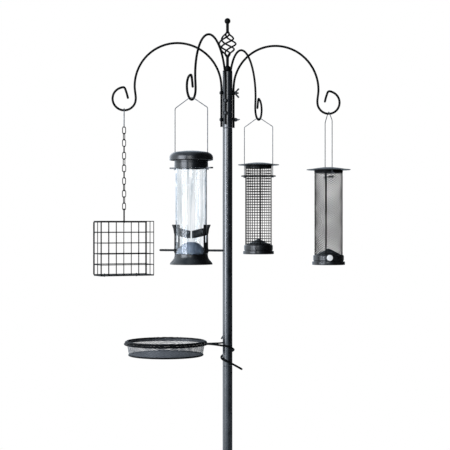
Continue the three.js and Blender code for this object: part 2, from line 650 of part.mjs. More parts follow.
// The bracket is one hoop with two strands: the long one coils once round the pole and ends in a tail, and
// the short one runs behind the pole and curls up against it.
function trayBracket(ringCentre, ringEdge) {
  const coilRadius = pole.radius + tray.wire + 2 * gap;
  const side = tray.strandSpread * coilRadius;
  const ring = new THREE.TorusGeometry(tray.ringRadius, tray.wire, 6, tray.segments)
    .translate(ringCentre, 0, 0);

  const coil = [[ringEdge - 0.4, -side, 0], [ringEdge * 0.72, -coilRadius * 0.72, -0.4],
    [ringEdge * 0.4, -coilRadius * 0.98, -2]];
  const steps = 12;
  for (let i = 0; i <= steps; i += 1) {
    const a = 2 * Math.PI * (0.75 + i / steps);
    const height = tray.coilTop - (tray.coilPitch * i) / steps;
    coil.push([coilRadius * Math.cos(a), coilRadius * Math.sin(a), height]);
  }
  const coilFoot = tray.coilTop - tray.coilPitch;
  coil.push([tray.tail * 0.4, -coilRadius, coilFoot - tray.tailFall * 0.36],
    [tray.tail, -coilRadius, coilFoot - tray.tailFall]);

  const behind = pole.radius + tray.stayWire + 3 * gap;
  const stay = [[ringEdge - 0.4, side, 0], [ringEdge * 0.66, behind * 0.7, 0], [ringEdge * 0.3, behind, 0.5],
    [0, behind * 1.04, 4], [behind * 0.3, behind * 1.04, 11], [0, behind * 1.12, 18],
    [-behind * 0.6, behind * 1.04, 17.5], [-behind, behind * 0.8, 10]];
  return join([ring, wire(coil, tray.wire, 34), wire(stay, tray.stayWire, 16)]);
}

function seedTray() {
  const group = new THREE.Group();
  group.position.z = tray.height;
  station.add(group);
  const ringEdge = -tray.neck;
  const ringCentre = ringEdge - tray.ringRadius;
  place(group, 'tray_bracket', trayBracket(ringCentre, ringEdge), coatedWire);

  const panTop = tray.ringRadius - tray.panInset;
  const rimRadius = panTop + 2 * gap + tray.rimWire;
  const rimHeight = Math.sqrt((tray.wire + tray.rimWire + gap) ** 2 - (tray.ringRadius - rimRadius) ** 2);
  place(group, 'tray_rim', new THREE.TorusGeometry(rimRadius, tray.rimWire, 6, tray.segments)
    .translate(ringCentre, 0, rimHeight), coatedWire);

  const lip = rimHeight + tray.rimWire + gap;
  const floor = lip - tray.depth;
  const foot = panTop - tray.panTaper;
  const w = tray.panWall;
  const outside = [[0, floor], [foot, floor], [panTop, rimHeight], [panTop, lip],
    [rimRadius + tray.rimWire, lip]];
  const inside = [[rimRadius + tray.rimWire, lip + w], [panTop - w, lip + w], [panTop - w, rimHeight],
    [foot - w, floor + w], [0, floor + w]];
  place(group, 'tray_pan', turned([...outside, ...inside], tray.segments)
    .translate(ringCentre, 0, 0), coatedWire);
}

seedTray();

export default station;
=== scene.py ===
import json
import math

import bmesh
import bpy
from mathutils import Matrix, Vector


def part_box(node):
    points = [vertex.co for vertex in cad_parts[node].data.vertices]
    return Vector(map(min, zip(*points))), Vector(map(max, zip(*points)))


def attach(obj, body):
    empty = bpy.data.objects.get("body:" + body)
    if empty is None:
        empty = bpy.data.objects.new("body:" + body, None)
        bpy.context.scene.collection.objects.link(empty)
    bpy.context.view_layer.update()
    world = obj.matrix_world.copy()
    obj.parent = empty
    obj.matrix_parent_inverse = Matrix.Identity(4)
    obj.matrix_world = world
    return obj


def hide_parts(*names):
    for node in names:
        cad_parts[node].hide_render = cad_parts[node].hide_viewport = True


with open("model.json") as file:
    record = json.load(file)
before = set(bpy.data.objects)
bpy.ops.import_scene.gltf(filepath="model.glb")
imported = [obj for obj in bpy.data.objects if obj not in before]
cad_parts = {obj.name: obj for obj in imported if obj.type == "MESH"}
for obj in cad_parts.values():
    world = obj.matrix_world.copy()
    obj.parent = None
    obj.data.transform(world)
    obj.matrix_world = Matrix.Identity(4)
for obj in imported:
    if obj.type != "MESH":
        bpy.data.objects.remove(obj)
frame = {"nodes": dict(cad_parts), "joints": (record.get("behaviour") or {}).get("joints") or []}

mm = 0.001  # every piece is modelled in millimetres and scaled to metres when it is finished
fullTurn = 2 * math.pi
alongX = Matrix.Rotation(math.pi / 2, 4, "Y")  # lays what stands up on its side, pointing outwards
looseFit = 0.3  # between parts that slide or seat on one another
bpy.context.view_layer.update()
joints = {joint["name"]: joint for joint in frame["joints"]}
print("frame loaded:", len(frame["nodes"]), "nodes")


# places, read from the frame

def lowHigh(node):
    low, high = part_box(node)
    return low / mm, high / mm


def heights(node):
    low, high = lowHigh(node)
    return low.z, high.z


def hookFrame(jointName):  # upright, at a feeder's hook, with X outwards from the pole
    outward = Vector(joints[jointName]["axis"]).normalized()
    at = Vector(joints[jointName]["pos_m"]) / mm
    sideways = Vector((0, 0, 1)).cross(outward)
    turn = Matrix((outward, sideways, (0, 0, 1))).transposed().to_4x4()
    return Matrix.Translation((at.x, at.y, 0)) @ turn


def turnedFrame(degrees, at=(0, 0, 0)):
    return Matrix.Translation(at) @ Matrix.Rotation(math.radians(degrees), 4, "Z")


# camera, lights and floor

cameraSetup = {"distance": 2812, "height": 1384, "aside": -5.6, "lens": 100, "sensor": 36}
lampSetup = {
    "softbox": {"at": (-2.2, -2.0, 1.9), "size": 1.9, "power": 95, "colour": "#eef4ff"},
    "front": {"at": (-0.5, -3.6, 2.2), "size": 1.2, "power": 22, "colour": "#ffffff"},
    "back": {"at": (-1.6, 2.6, 2.4), "size": 1.6, "power": 9, "colour": "#ffffff"},
}
roomSetup = {"fill": 0.6, "backdropSheen": 0.06}
stageSetup = {"floorRadius": 4.5, "floorColour": "#e9e9e6"}


def hexColour(text):
    values = [int(text[i:i + 2], 16) / 255 for i in (1, 3, 5)]
    return (*[v / 12.92 if v <= 0.04045 else ((v + 0.055) / 1.055) ** 2.4 for v in values], 1)


def addNode(tree, kind, inputs=None, **settings):
    node = tree.nodes.new(kind)
    for key, value in settings.items():
        setattr(node, key, value)
    for socket, value in (inputs or {}).items():
        if isinstance(value, bpy.types.NodeSocket):
            tree.links.new(value, node.inputs[socket])
        else:
            node.inputs[socket].default_value = value
    return node


def setRamp(node, stops):
    ramp = node.color_ramp
    while len(ramp.elements) < len(stops):
        ramp.elements.new(1)
    for element, (place, value) in zip(ramp.elements, stops):
        element.position = place
        element.color = value if len(value) == 4 else (*value, 1)


def makeCamera():
    data = bpy.data.cameras.new("camera")
    data.lens, data.sensor_width = cameraSetup["lens"], cameraSetup["sensor"]
    camera = bpy.data.objects.new("camera", data)
    camera.location = Vector((cameraSetup["aside"], -cameraSetup["distance"], cameraSetup["height"])) * mm
    camera.rotation_euler = (math.pi / 2, 0, 0)
    bpy.context.scene.collection.objects.link(camera)
    bpy.context.scene.camera = camera


def makeLamps():
    middle = Vector((0, 0, 1.45))
    for name, lamp in lampSetup.items():
        data = bpy.data.lights.new(name, "AREA")
        data.shape, data.size, data.energy = "SQUARE", lamp["size"], lamp["power"]
        data.color = hexColour(lamp["colour"])[:3]
        thing = bpy.data.objects.new(name, data)
        thing.location = lamp["at"]
        thing.rotation_euler = (middle - thing.location).to_track_quat("-Z", "Y").to_euler()
        bpy.context.scene.collection.objects.link(thing)


def makeWorld():
    world = bpy.data.worlds.new("studio")
    bpy.context.scene.world = world
    world.use_nodes = True
    tree = world.node_tree
    tree.nodes.clear()
    direction = addNode(tree, "ShaderNodeTexCoord")
    parts = addNode(tree, "ShaderNodeSeparateXYZ", {0: direction.outputs["Generated"]})
    spread = addNode(tree, "ShaderNodeMapRange", {0: parts.outputs[0], 1: -1.0, 2: 1.0, 3: 0.0, 4: 1.0})
    # what gloss sees of the room: a bright left side, a paler panel by the camera, then a dark right side
    room = addNode(tree, "ShaderNodeValToRGB", {0: spread.outputs[0]})
    setRamp(room, [(0.0, (1.7, 1.85, 2.0)), (0.14, (1.5, 1.7, 1.9)), (0.3, (0.45, 0.58, 0.76)),
                   (0.42, (1.0, 1.18, 1.35)), (0.56, (0.42, 0.52, 0.64)), (0.7, (0.02, 0.025, 0.03)),
                   (1.0, (0.004, 0.004, 0.004))])
    # and a trace of the white backdrop from behind
    behind = addNode(tree, "ShaderNodeMapRange", {0: parts.outputs[1], 1: 0.1, 2: 0.7, 3: 0.0,
                                                  4: roomSetup["backdropSheen"]})
    sheen = addNode(tree, "ShaderNodeMix", {0: behind.outputs[0], 6: room.outputs[0], 7: (1, 1, 1, 1)},
                    data_type="RGBA")
    ray = addNode(tree, "ShaderNodeLightPath").outputs
    fill = (roomSetup["fill"],) * 3 + (1,)
    light = addNode(tree, "ShaderNodeMix", {0: ray["Glossy Depth"], 6: fill, 7: sheen.outputs[2]},
                    data_type="RGBA")
    # the clear tube shows the white backdrop, but what stands inside it is lit by the room
    bounced = addNode(tree, "ShaderNodeMath", {0: ray["Glossy Depth"], 1: ray["Diffuse Depth"]},
                      operation="ADD", use_clamp=True)
    through = addNode(tree, "ShaderNodeMath", {0: ray["Is Camera Ray"], 1: ray["Is Transmission Ray"]},
                      operation="MAXIMUM")
    seen = addNode(tree, "ShaderNodeMath", {0: through.outputs[0], 1: bounced.outputs[0]},
                   operation="SUBTRACT", use_clamp=True)
    lit = addNode(tree, "ShaderNodeBackground", {0: light.outputs[2]})
    backdrop = addNode(tree, "ShaderNodeBackground", {0: (1, 1, 1, 1)})
    mixed = addNode(tree, "ShaderNodeMixShader", {0: seen.outputs[0], 1: lit.outputs[0],
                                                  2: backdrop.outputs[0]})
    addNode(tree, "ShaderNodeOutputWorld", {0: mixed.outputs[0]})


def makeFloor():
    mesh = bmesh.new()
    bmesh.ops.create_circle(mesh, cap_ends=True, radius=stageSetup["floorRadius"], segments=96)
    data = bpy.data.meshes.new("floor")
    mesh.to_mesh(data)
    mesh.free()
    floor = bpy.data.objects.new("floor", data)
    bpy.context.scene.collection.objects.link(floor)
    paper = bpy.data.materials.new("matte_paper")
    paper.use_nodes = True
    shader = paper.node_tree.nodes["Principled BSDF"]
    shader.inputs["Base Color"].default_value = hexColour(stageSetup["floorColour"])
    shader.inputs["Roughness"].default_value = 0.85
    data.materials.append(paper)


makeCamera()
makeLamps()
makeWorld()
makeFloor()
bpy.context.scene.view_settings.view_transform = "Standard"
print("camera, lamps and floor made")


# materials

def startMaterial(name, settings):
    material = bpy.data.materials.new(name)
    material.use_nodes = True
    tree = material.node_tree
    shader = tree.nodes["Principled BSDF"]
    for socket, value in settings.items():
        shader.inputs[socket].default_value = value
    place = addNode(tree, "ShaderNodeTexCoord").outputs["Object"]
    return material, tree, shader, place


def addPatches(tree, shader, noise, colours, gloss):  # a cloudy tint, with a roughness that follows it
    cloud = addNode(tree, "ShaderNodeTexNoise", noise)
    tint = addNode(tree, "ShaderNodeValToRGB", {0: cloud.outputs[0]})
    setRamp(tint, [(place, hexColour(colour)) for place, colour in colours])
    tree.links.new(tint.outputs[0], shader.inputs["Base Color"])
    rough = addNode(tree, "ShaderNodeMapRange", {0: cloud.outputs[0], 1: 0.3, 2: 0.7, 3: gloss[0],
                                                 4: gloss[1]})
    tree.links.new(rough.outputs[0], shader.inputs["Roughness"])


# polyester powder coat or paint on steel: a soft gloss with a fine orange peel, worn in patches 26 mm across
def powderCoat(name, colour, worn, roughness, gleam, peelMillimetres, peelStrength, ior=1.52):
    settings = {"Metallic": 0.0, "IOR": ior, "Specular IOR Level": gleam}
    material, tree, shader, place = startMaterial(name, settings)
    addPatches(tree, shader, {"Vector": place, "Scale": 38.0, "Detail": 5.0, "Roughness": 0.6},
               [(0.35, colour), (0.72, worn)], (roughness - 0.05, roughness + 0.09))
    peel = addNode(tree, "ShaderNodeTexNoise", {"Vector": place, "Scale": 1 / (peelMillimetres * mm),
                                                "Detail": 2.0})
    bump = addNode(tree, "ShaderNodeBump", {"Height": peel.outputs[0], "Strength": peelStrength,
                                            "Distance": 0.0002})
    tree.links.new(bump.outputs[0], shader.inputs["Normal"])
    return material


# injection-moulded plastic: satin, with a spark-eroded grain a third of a millimetre across
def mouldedPlastic(name, colour, scuffed, roughness, gleam=0.5):
    settings = {"Metallic": 0.0, "IOR": 1.49, "Specular IOR Level": gleam}
    material, tree, shader, place = startMaterial(name, settings)
    addPatches(tree, shader, {"Vector": place, "Scale": 55.0, "Detail": 6.0},
               [(0.4, colour), (0.75, scuffed)], (roughness - 0.06, roughness + 0.08))
    grain = addNode(tree, "ShaderNodeTexVoronoi", {"Vector": place, "Scale": 1 / (0.33 * mm)})
    bump = addNode(tree, "ShaderNodeBump", {"Height": grain.outputs[0], "Strength": 0.12, "Distance": 0.0001})
    tree.links.new(bump.outputs[0], shader.inputs["Normal"])
    return material


# zinc plate on drawn wire: bright, with dull patches 6 mm across where it has weathered
def zincPlate(name, colour, dull):
    material, tree, shader, place = startMaterial(name, {"Metallic": 1.0})
    addPatches(tree, shader, {"Vector": place, "Scale": 160.0, "Detail": 4.0},
               [(0.35, colour), (0.7, dull)], (0.24, 0.42))
    return material


# extruded polycarbonate: clear and glossy, with the slow ripple that drawing a tube leaves
def clearPlastic(name):
    settings = {"Roughness": 0.03, "IOR": 1.35, "Transmission Weight": 1.0}
    material, tree, shader, place = startMaterial(name, settings)
    # grey lines down the tube, about 8 mm apart, along its draw lines: the grey is a painted reflection, the
    # faint grey that the wall shows edge-on
    lines = addNode(tree, "ShaderNodeMapping", {"Vector": place, "Scale": (1, 1, 0.07)})
    paintedStreaks = addNode(tree, "ShaderNodeTexNoise", {"Vector": lines.outputs[0], "Scale": 125.0, "Detail": 1.0})
    tint = addNode(tree, "ShaderNodeValToRGB", {0: paintedStreaks.outputs[0]})
    setRamp(tint, [(0.38, hexColour("#fbfcfd")), (0.5, hexColour("#dde3e7")), (0.6, hexColour("#fafbfc"))])
    tree.links.new(tint.outputs[0], shader.inputs["Base Color"])
    stretch = addNode(tree, "ShaderNodeMapping", {"Vector": place, "Scale": (1, 1, 0.4)})
    ripple = addNode(tree, "ShaderNodeTexNoise", {"Vector": stretch.outputs[0], "Scale": 80.0, "Detail": 1.5})
    bump = addNode(tree, "ShaderNodeBump", {"Height": ripple.outputs[0], "Strength": 0.4, "Distance": 0.0015})
    tree.links.new(bump.outputs[0], shader.inputs["Normal"])
    return material


coatedTube = powderCoat("powder_coated_tube", "#0c0f13", "#151a20", 0.22, 0.95, 1.3, 0.03)
coatedWire = powderCoat("powder_coated_wire", "#030404", "#060708", 0.42, 0.3, 0.9, 0.2, 1.2)
coatedMesh = powderCoat("powder_coated_woven_mesh", "#3d4045", "#4b4f55", 0.42, 0.5, 0.9, 0.2)
paintedSteel = powderCoat("painted_steel_sheet", "#26292c", "#34373b", 0.4, 0.35, 1.1, 0.2)
blackPlastic = mouldedPlastic("moulded_polypropylene", "#08090b", "#101214", 0.24)
matteNylon = mouldedPlastic("moulded_matte_nylon", "#040506", "#090a0b", 0.4, 0.2)  # ports and perch
smokedPlastic = mouldedPlastic("smoked_polystyrene", "#6a7789", "#8b99ac", 0.12)
zincWire = zincPlate("zinc_plated_wire", "#5c5e61", "#414345")
# the zinc button cap: its bright shine is a painted reflection, a pale grey diffuse colour in place of the
# metal's reflection
buttonPaintedReflection = powderCoat("button_pale_painted_reflection", "#c9cbcc", "#e2e3e3", 0.32, 0.6, 1.0, 0.1)
clearTube = clearPlastic("clear_polycarbonate")
finishes = {"coated_tube": coatedTube, "coated_wire": coatedWire, "grey_steel": paintedSteel,
            "black_plastic": blackPlastic, "smoked_plastic": smokedPlastic, "zinc_wire": zincWire,
            "clear_tube": clearTube}
print("materials made:", len(finishes))


# shaping tools

def arc(centreA, centreB, radius, start, end, count):  # points on a circle, angles in degrees
    points = []
    for i in range(count + 1):
        angle = math.radians(start + (end - start) * i / count)
        points.append((centreA + radius * math.cos(angle), centreB + radius * math.sin(angle)))
    return points


def smoothLine(points, perSpan):  # a centripetal curve through the points
    points = [Vector(p) for p in points]
    padded = [2 * points[0] - points[1], *points, 2 * points[-1] - points[-2]]
    line = []
    for k in range(1, len(padded) - 2):
        p0, p1, p2, p3 = padded[k - 1:k + 3]
        t1 = (p1 - p0).length ** 0.5
        t2 = t1 + (p2 - p1).length ** 0.5
        t3 = t2 + (p3 - p2).length ** 0.5
        for i in range(perSpan):
            t = t1 + (t2 - t1) * i / perSpan
            a = p0.lerp(p1, t / t1)
            b = p1.lerp(p2, (t - t1) / (t2 - t1))
            c = p2.lerp(p3, (t - t2) / (t3 - t2))
            d = a.lerp(b, t / t2)
            e = b.lerp(c, (t - t1) / (t3 - t1))
            line.append(d.lerp(e, (t - t1) / (t2 - t1)))
    return [*line, points[-1]]


def rounded(corners, bend, count):  # straight runs with each inner corner turned on a curve
    corners = [Vector(c) for c in corners]
    line = [corners[0]]
    for before, corner, after in zip(corners, corners[1:], corners[2:]):
        start = corner + (before - corner).normalized() * bend
        end = corner + (after - corner).normalized() * bend
        for i in range(count + 1):
            t = i / count
            line.append(start.lerp(corner, t).lerp(corner.lerp(end, t), t))
    return [*line, corners[-1]]


def sweepWire(mesh, points, radius, sides=10, looped=False):
    points = [Vector(p) for p in points]
    count = len(points)
    runs = []
    for i in range(count):
        before = points[i - 1] if looped or i else points[0]
        after = points[(i + 1) % count] if looped or i < count - 1 else points[-1]
        runs.append((after - before).normalized())
    turn = runs[0].to_track_quat("Z", "Y")
    place = Matrix.Translation(points[0]) @ turn.to_matrix().to_4x4()
    made = bmesh.ops.create_circle(mesh, cap_ends=not looped, radius=radius, segments=sides, matrix=place)
    ring = made["verts"]
    edges = list({e for v in ring for e in v.link_edges})
    firstEdges = edges
    for i in range(1, count):
        turn = runs[i - 1].rotation_difference(runs[i]) @ turn
        grown = bmesh.ops.extrude_edge_only(mesh, edges=edges)["geom"]
        ring = [g for g in grown if isinstance(g, bmesh.types.BMVert)]
        members = set(ring)
        edges = [g for g in grown if isinstance(g, bmesh.types.BMEdge) and set(g.verts) <= members]
        nextPlace = Matrix.Translation(points[i]) @ turn.to_matrix().to_4x4()
        bmesh.ops.transform(mesh, matrix=nextPlace @ place.inverted(), verts=ring)
        place = nextPlace
    if looped:
        bmesh.ops.bridge_loops(mesh, edges=firstEdges + edges)
    else:
        bmesh.ops.contextual_create(mesh, geom=edges)


def spun(profile, steps):  # a body of revolution about Z from (radius, height) points
    mesh = bmesh.new()
    verts = [mesh.verts.new((radius, 0, height)) for radius, height in profile]
    edges = [mesh.edges.new(pair) for pair in zip(verts, verts[1:])]
    if profile[0][0] > 0:
        edges.append(mesh.edges.new((verts[-1], verts[0])))
    bmesh.ops.spin(mesh, geom=verts + edges, cent=(0, 0, 0), axis=(0, 0, 1), angle=fullTurn, steps=steps,
                   use_merge=True)
    return mesh


def addRod(mesh, start, end, radius, sides=10):
    start, end = Vector(start), Vector(end)
    run = end - start
    place = Matrix.Translation((start + end) / 2) @ run.to_track_quat("Z", "Y").to_matrix().to_4x4()
    bmesh.ops.create_cone(mesh, cap_ends=True, segments=sides, radius1=radius, radius2=radius,
                          depth=run.length, matrix=place)


def addBall(mesh, at, radius, rings=8):
    bmesh.ops.create_uvsphere(mesh, u_segments=2 * rings, v_segments=rings, radius=radius,
                              matrix=Matrix.Translation(at))


def addBlock(mesh, size, at):
    bmesh.ops.create_cube(mesh, size=1, matrix=Matrix.Translation(at) @ Matrix.Diagonal((*size, 1)))


def addPlate(mesh, outline, run):  # a flat outline drawn out into a solid
    face = mesh.faces.new([mesh.verts.new(corner) for corner in outline])
    grown = bmesh.ops.extrude_face_region(mesh, geom=[face])["geom"]
    bmesh.ops.translate(mesh, verts=[v for v in grown if isinstance(v, bmesh.types.BMVert)], vec=run)


def addRing(mesh, radius, height, wire, steps, sides, aside=0):  # a level hoop of wire round Z
    loop = [(x + aside, y, height) for x, y in arc(0, 0, radius, 0, 360, steps)[:-1]]
    sweepWire(mesh, loop, wire, sides, looped=True)


def thicken(mesh, wall):  # gives a sheet round Z its wall, outwards, or inwards where it is negative
    face = mesh.faces[:][0]
    outwards = face.normal.dot(Vector((*face.calc_center_median().xy, 0))) > 0
    bmesh.ops.solidify(mesh, geom=mesh.faces[:], thickness=-wall if outwards else wall)


def copiesAround(mesh, geometry, count):  # turned copies about Z, with the first one kept
    bmesh.ops.spin(mesh, geom=geometry, cent=(0, 0, 0), axis=(0, 0, 1), angle=fullTurn * (count - 1) / count,
                   steps=count - 1, use_duplicate=True)


def copiesUp(mesh, geometry, count, pitch):  # copies one above the other, with the first one kept
    bmesh.ops.spin(mesh, geom=geometry, cent=(0, 0, 0), axis=(0, 0, 1), dvec=(0, 0, pitch), angle=0,
                   steps=count - 1, use_duplicate=True)


def addCopy(mesh, other):
    spare = bpy.data.meshes.new("spare")
    other.to_mesh(spare)
    other.free()
    mesh.from_mesh(spare)
    bpy.data.meshes.remove(spare)


def allOf(mesh):
    return mesh.verts[:] + mesh.edges[:] + mesh.faces[:]


def finishPiece(mesh, name, body, slot, replaced, place=Matrix.Identity(4), sharp=38, bevel=None,
                finish=None):
    bmesh.ops.remove_doubles(mesh, verts=mesh.verts, dist=0.0005)
    bmesh.ops.dissolve_degenerate(mesh, edges=mesh.edges, dist=0.0001)
    bmesh.ops.recalc_face_normals(mesh, faces=mesh.faces)
    bmesh.ops.transform(mesh, matrix=Matrix.Scale(mm, 4) @ place, verts=mesh.verts)
    data = bpy.data.meshes.new(name)
    mesh.to_mesh(data)
    mesh.free()
    piece = bpy.data.objects.new(name, data)
    bpy.context.scene.collection.objects.link(piece)
    data.materials.append(finish or finishes[slot])
    data.shade_smooth()
    data.set_sharp_from_angle(angle=math.radians(sharp))
    if bevel:
        rounding = piece.modifiers.new("rounded_edges", "BEVEL")
        rounding.width, rounding.segments, rounding.limit_method = bevel * mm, 2, "ANGLE"
        rounding.angle_limit = math.radians(35)
    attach(piece, body)
    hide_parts(*replaced)


# pole, spike and finial

poleNodes = ("pole_lower", "pole_middle", "pole_upper", "top_tube")  # from the ground up
poleShape = {"radius": 11, "wall": 1.2, "spigot": 9.5, "neck": 6, "chamfer": 0.5, "steps": 64}
finialShape = {"plug": 14, "capRadius": 8, "capHeight": 12, "stemRadius": 3.3, "lowerStem": 21,
               "basketHeight": 56, "basketRadius": 18.8, "basketTurns": 0.95, "wireRadius": 1.95,
               "wires": 4, "upperStem": 19, "ballRadius": 6.8}


def makePole():
    radius, wall, spigot = poleShape["radius"], poleShape["wall"], poleShape["spigot"]
    chamfer, neck = poleShape["chamfer"], poleShape["neck"]
    for node, above in zip(poleNodes, (*poleNodes[1:], None)):
        foot, top = heights(node)
        shoulder = (heights(above)[0] if above else top) - looseFit
        profile = [(radius - wall, foot), (radius - chamfer, foot), (radius, foot + chamfer * 1.6),
                   (radius, shoulder - chamfer * 1.6), (radius - chamfer, shoulder)]
        if above:  # the spigot that goes up into the next section
            profile += [(spigot, shoulder), (spigot, top), (spigot - wall, top),
                        (spigot - wall, shoulder - neck / 2), (radius - wall, shoulder - neck)]
        else:
            profile.append((radius - wall, shoulder))
        mesh = spun(profile, poleShape["steps"])
        finishPiece(mesh, f"{node}_tube", "pole", "coated_tube", [node], sharp=25)


def makeFinial():
    foot = heights("top_tube")[1] + looseFit
    capTop = foot + finialShape["capHeight"]
    basketFoot = capTop + finialShape["lowerStem"]
    basketTop = basketFoot + finialShape["basketHeight"]
    stemTop = basketTop + finialShape["upperStem"]
    stem, cap, ball = finialShape["stemRadius"], finialShape["capRadius"], finialShape["ballRadius"]
    tube, spigot, plugFoot = poleShape["radius"], poleShape["spigot"], foot - finialShape["plug"]
    mesh = spun([(0, plugFoot), (spigot, plugFoot), (spigot, foot), (tube, foot), (tube, foot + 1.2),
                 *arc(cap + 1, foot + 3.2, 1, 250, 180, 3), *arc(cap - 2, capTop - 3, 2, 0, 60, 4),
                 (stem + 0.8, capTop), (stem, capTop + 1.5), (stem, basketFoot + 3),
                 (0, basketFoot + 3)], 40)
    addCopy(mesh, spun([(0, basketTop - 3), (stem, basketTop - 3), (stem, stemTop), (0, stemTop)], 24))
    addBall(mesh, (0, 0, stemTop + ball * 0.8), ball, 16)
    inner = stem * 0.55
    for k in range(finialShape["wires"]):
        points = []
        for i in range(11):
            t = i / 10
            reach = inner + (finialShape["basketRadius"] - inner) * math.sin(math.pi * t) ** 1.15
            angle = fullTurn * (k / finialShape["wires"] + finialShape["basketTurns"] * t)
            points.append((reach * math.cos(angle), reach * math.sin(angle),
                           basketFoot + finialShape["basketHeight"] * t))
        sweepWire(mesh, smoothLine(points, 6), finialShape["wireRadius"], 10)
    finishPiece(mesh, "finial_basket_twist", "pole", "coated_wire", ["finial"])


spikeShape = {"plate": (90, 34, 4), "corner": 11, "bladeRadius": 8, "tipRadius": 0.8, "edge": 0.8}


def roundUprights(mesh, taller, offset, segments):
    uprights = [e for e in mesh.edges if abs(e.verts[0].co.z - e.verts[1].co.z) > taller]
    bmesh.ops.bevel(mesh, geom=uprights, offset=offset, segments=segments, profile=0.5, affect="EDGES",
                    material=-1)


def makeSpike():
    foot = heights("ground_spike")[0]
    length, width, thick = spikeShape["plate"]
    mesh = bmesh.new()
    addBlock(mesh, (length, width, thick), (0, 0, thick / 2))
    roundUprights(mesh, thick / 2, spikeShape["corner"], 6)
    blade = bmesh.new()
    bmesh.ops.create_cone(blade, cap_ends=True, segments=4, radius1=spikeShape["tipRadius"],
                          radius2=spikeShape["bladeRadius"], depth=1 - foot,
                          matrix=Matrix.Translation((0, 0, (foot + 1) / 2)))
    roundUprights(blade, 1, spikeShape["edge"], 2)
    addCopy(mesh, blade)
    finishPiece(mesh, "ground_spike_blade", "pole", "coated_tube", ["ground_spike"], bevel=0.6)


makeSpike()
makePole()
makeFinial()
print("pole and finial made")


# crook arms

armShape = {"radius": 2.5, "springHeight": 89, "reachHalf": 97.5, "rise": 98, "dropLength": 28,
            "eyeRadius": 26, "eyeLap": 2.5, "tipInset": 8.5, "tipDrop": 24, "padRadius": 5,
            "shankRadius": 13.8}
armPlaces = {
    "left": {"azimuth": 188, "raise": 2, "pads": (19, 79)},
    "right": {"azimuth": 8, "raise": 0, "pads": (19, 79)},
    "front": {"azimuth": 251, "raise": 7, "pads": (33, 61)},
    "rear": {"azimuth": 71, "raise": 2, "pads": (33, 61)},
}


def armLine(foot, spring):
    shank, half = armShape["shankRadius"], armShape["reachHalf"]
    eyeAt = shank + 2 * half - armShape["eyeLap"] + armShape["eyeRadius"]
    eyeHeight = spring - armShape["dropLength"]
    line = [(shank, 0, foot + part * (spring - foot)) for part in (0, 0.25, 0.5, 0.75)]
    for i in range(15):
        angle = math.pi * i / 14
        line.append((shank + half * (1 - math.cos(angle)), 0, spring + armShape["rise"] * math.sin(angle)))
    for i in range(12):
        angle = math.pi + 1.5 * math.pi * i / 11
        reach = armShape["eyeRadius"] * (1 - 0.04 * (i / 11) ** 2)
        line.append((eyeAt + reach * math.cos(angle), 0, eyeHeight + reach * math.sin(angle)))
    line.append((eyeAt - armShape["tipInset"] * 0.55, 0, eyeHeight + armShape["eyeRadius"] * 0.6))
    line.append((eyeAt - armShape["tipInset"], 0, eyeHeight + armShape["eyeRadius"] - armShape["tipDrop"]))
    return line


def makeArms():
    base = heights("top_tube")[0]
    wire, pad = armShape["radius"], armShape["padRadius"]
    for name, arm in armPlaces.items():
        mesh = bmesh.new()
        foot = base + arm["raise"]
        line = smoothLine(armLine(foot + 0.5, foot + armShape["springHeight"]), 6)
        sweepWire(mesh, line, wire, 14)
        addBall(mesh, line[-1], wire * 1.02)
        for height in arm["pads"]:  # the flattened eyes that the bolts pass through
            eye = spun([(0, -wire), (pad - 0.8, -wire), (pad, 0.6 - wire), (pad, wire - 0.6),
                        (pad - 0.8, wire), (0, wire)], 32)
            out = Matrix.Translation((armShape["shankRadius"], 0, base + height))
            bmesh.ops.transform(eye, matrix=out @ alongX, verts=eye.verts)
            addCopy(mesh, eye)
        finishPiece(mesh, f"crook_{name}", "pole", "coated_wire", [f"hook_arm_{name}"],
                    turnedFrame(arm["azimuth"]))


makeArms()
print("arms made")


# bolts and wing nuts

boltShape = {"radius": 2, "face": 16.6, "headRadius": 3.5, "headHeight": 1.9, "tail": 25.4,
             "threadTurns": 7, "threadPitch": 0.5, "threadDepth": 0.25}
nutShape = {"bore": 2.3, "hub": 4.4, "height": 5, "wingOut": 9.4, "wingReach": 11, "wingThickness": 1.9}
boltPairs = {"side": {"azimuth": 8, "heights": (19, 79), "turns": (90, 0)},
             "fore": {"azimuth": 71, "heights": (33, 61), "turns": (0, 0)}}


def makeBolt(node, at):
    radius, face, head = boltShape["radius"], boltShape["face"], boltShape["headHeight"]
    tail, pitch = boltShape["tail"], boltShape["threadPitch"]
    dome = [(boltShape["headRadius"] * math.cos(a), -face - head * math.sin(a)) for a in (0, 0.4, 0.8, 1.2)]
    threads = []
    for k in range(boltShape["threadTurns"]):  # the turns of thread that stand out of the nut
        z = tail - 4 + pitch * k
        threads += [(radius, z), (radius - boltShape["threadDepth"], z + pitch / 2)]
    mesh = spun([(0, -face - head), *reversed(dome), (radius, -face), *threads, (radius - 0.5, tail),
                 (0, tail)], 20)
    finishPiece(mesh, f"{node}_screw", "pole", "grey_steel", [node], at)


def makeWingNut(node, body, at):
    bore, hub, height = nutShape["bore"], nutShape["hub"], nutShape["height"]
    thick = nutShape["wingThickness"]
    mesh = spun([(bore, 0), (hub, 0), (hub, 1.4), (hub - 0.9, height), (bore, height)], 24)
    tip = arc(nutShape["wingReach"] - 2, nutShape["wingOut"] - 1.4, 2, -50, 150, 8)
    wing = [(hub - 1.4, 0.9), (hub + 0.4, 1.6), *tip, (hub - 1.4, height - 0.4)]
    for side in (1, -1):
        addPlate(mesh, [(side * reach, -thick / 2, out) for reach, out in wing], (0, thick, 0))
    finishPiece(mesh, f"{node}_wings", body, "grey_steel", [node], at, bevel=0.35)


